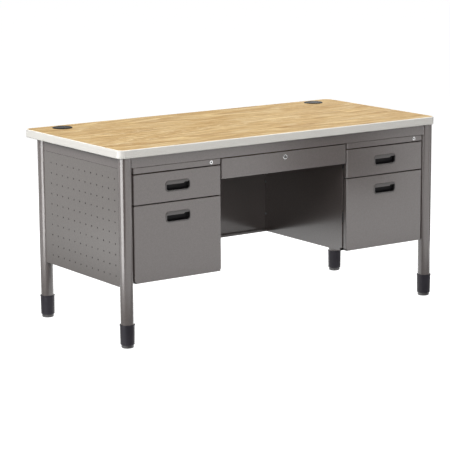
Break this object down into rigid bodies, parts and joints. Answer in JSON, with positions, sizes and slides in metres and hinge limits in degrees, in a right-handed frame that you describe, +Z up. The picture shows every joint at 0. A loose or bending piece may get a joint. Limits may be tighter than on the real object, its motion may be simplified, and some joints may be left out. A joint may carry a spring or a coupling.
{
  "type": "teacher desk",
  "caption": "Double-pedestal steel desk: laminate worktop on round legs, box and file drawers each side, centre drawer, perforated end panels, recessed modesty panel and cable grommets.",
  "frame": {"origin": "on the floor under the middle of the worktop", "axes": "+X to the right of someone facing the drawer fronts, +Y from the drawer fronts to the back, +Z up"},
  "size_m": [1.524, 0.727, 0.7523],
  "materials": {
    "laminate": "light oak woodgrain laminate, satin",
    "particleboard": "raw particleboard",
    "edge_band": "light grey vinyl band, satin",
    "black_plastic": "black moulded plastic",
    "boot_plastic": "charcoal moulded plastic",
    "glide_plastic": "dark hard plastic",
    "pull_plastic": "dark grey moulded plastic, satin",
    "lock_brass": "nickel plated",
    "lock_chrome": "polished nickel plate",
    "zinc_steel": "zinc plated",
    "tray_steel": "fine textured powder coat",
    "panel_paint": "medium grey powder coat, fine texture",
    "frame_paint": "medium grey powder coat, fine texture"
  },
  "bodies": {
    "root": {"assembly_screws": "zinc_steel", "edge_band": "edge_band", "fixed_slides_center": "zinc_steel", "fixed_slides_left": "zinc_steel", "fixed_slides_right": "zinc_steel", "front_apron": "frame_paint", "grommet_sleeve_left": "black_plastic", "grommet_sleeve_right": "black_plastic", "leg_boot_front_left": "boot_plastic", "leg_boot_front_right": "boot_plastic", "leg_boot_rear_left": "boot_plastic", "leg_boot_rear_right": "boot_plastic", "leg_tube_front_left": "frame_paint", "leg_tube_front_right": "frame_paint", "leg_tube_rear_left": "frame_paint", "leg_tube_rear_right": "frame_paint", "lock_rail_left": "frame_paint", "lock_rail_right": "frame_paint", "modesty_panel": "frame_paint", "pedestal_lock_housings": "lock_chrome", "pedestal_shell_left": "frame_paint", "pedestal_shell_right": "frame_paint", "rear_rail": "frame_paint", "side_panel_left": "panel_paint", "side_panel_right": "panel_paint", "side_rail_left": "frame_paint", "side_rail_right": "frame_paint", "worktop_core": "particleboard", "worktop_laminate": "laminate"},
    "box_drawer_left": {"box_drawer_front_left": "frame_paint", "box_drawer_tray_left": "tray_steel", "box_drawer_pull_left": "pull_plastic", "box_drawer_runners_left": "zinc_steel"},
    "file_drawer_left": {"file_drawer_front_left": "frame_paint", "file_drawer_tray_left": "tray_steel", "file_drawer_pull_left": "pull_plastic", "file_drawer_runners_left": "zinc_steel"},
    "file_slide_left": {"file_slide_middles_left": "zinc_steel"},
    "lock_plug_left": {"lock_plug_left": "lock_brass"},
    "grommet_cap_left": {"grommet_cap_left": "black_plastic"},
    "box_drawer_right": {"box_drawer_front_right": "frame_paint", "box_drawer_tray_right": "tray_steel", "box_drawer_pull_right": "pull_plastic", "box_drawer_runners_right": "zinc_steel"},
    "file_drawer_right": {"file_drawer_front_right": "frame_paint", "file_drawer_tray_right": "tray_steel", "file_drawer_pull_right": "pull_plastic", "file_drawer_runners_right": "zinc_steel"},
    "file_slide_right": {"file_slide_middles_right": "zinc_steel"},
    "lock_plug_right": {"lock_plug_right": "lock_brass"},
    "grommet_cap_right": {"grommet_cap_right": "black_plastic"},
    "center_drawer": {"center_drawer_front": "frame_paint", "center_drawer_tray": "tray_steel", "center_lock_housing": "lock_chrome", "center_drawer_runners": "zinc_steel"},
    "center_lock_plug": {"center_lock_plug": "lock_brass"},
    "glide_front_left": {"leveling_glide_front_left": "glide_plastic"},
    "glide_front_right": {"leveling_glide_front_right": "glide_plastic"},
    "glide_rear_left": {"leveling_glide_rear_left": "glide_plastic"},
    "glide_rear_right": {"leveling_glide_rear_right": "glide_plastic"}
  },
  "joints": [
    {"name": "box_drawer_left_slide", "type": "slide", "parent": "root", "child": "box_drawer_left", "axis": [0, -1, 0], "range_m": [0, 0.38]},
    {"name": "file_drawer_left_slide", "type": "slide", "parent": "root", "child": "file_drawer_left", "axis": [0, -1, 0], "range_m": [0, 0.45]},
    {"name": "file_slide_left_extension", "type": "slide", "parent": "root", "child": "file_slide_left", "axis": [0, -1, 0], "range_m": [0, 0.225]},
    {"name": "lock_left_turn", "type": "hinge", "parent": "root", "child": "lock_plug_left", "pos_m": [-0.349, -0.348, 0.6662], "axis": [0, 1, 0], "range_deg": [0, 90]},
    {"name": "grommet_cap_left_lift", "type": "slide", "parent": "root", "child": "grommet_cap_left", "axis": [0, 0, 1], "range_m": [0, 0.03]},
    {"name": "box_drawer_right_slide", "type": "slide", "parent": "root", "child": "box_drawer_right", "axis": [0, -1, 0], "range_m": [0, 0.38]},
    {"name": "file_drawer_right_slide", "type": "slide", "parent": "root", "child": "file_drawer_right", "axis": [0, -1, 0], "range_m": [0, 0.45]},
    {"name": "file_slide_right_extension", "type": "slide", "parent": "root", "child": "file_slide_right", "axis": [0, -1, 0], "range_m": [0, 0.225]},
    {"name": "lock_right_turn", "type": "hinge", "parent": "root", "child": "lock_plug_right", "pos_m": [0.653, -0.348, 0.6662], "axis": [0, 1, 0], "range_deg": [0, 90]},
    {"name": "grommet_cap_right_lift", "type": "slide", "parent": "root", "child": "grommet_cap_right", "axis": [0, 0, 1], "range_m": [0, 0.03]},
    {"name": "center_drawer_slide", "type": "slide", "parent": "root", "child": "center_drawer", "axis": [0, -1, 0], "range_m": [0, 0.33]},
    {"name": "center_lock_turn", "type": "hinge", "parent": "center_drawer", "child": "center_lock_plug", "pos_m": [0, -0.348, 0.6535], "axis": [0, 1, 0], "range_deg": [0, 90]},
    {"name": "glide_front_left_screw", "type": "slide", "parent": "root", "child": "glide_front_left", "axis": [0, 0, -1], "range_m": [0, 0.015]},
    {"name": "glide_front_right_screw", "type": "slide", "parent": "root", "child": "glide_front_right", "axis": [0, 0, -1], "range_m": [0, 0.015]},
    {"name": "glide_rear_left_screw", "type": "slide", "parent": "root", "child": "glide_rear_left", "axis": [0, 0, -1], "range_m": [0, 0.015]},
    {"name": "glide_rear_right_screw", "type": "slide", "parent": "root", "child": "glide_rear_right", "axis": [0, 0, -1], "range_m": [0, 0.015]}
  ],
  "couplings": [
    {"joint": "file_slide_left_extension", "follows": "file_drawer_left_slide", "ratio": 0.5},
    {"joint": "file_slide_right_extension", "follows": "file_drawer_right_slide", "ratio": 0.5}
  ]
}
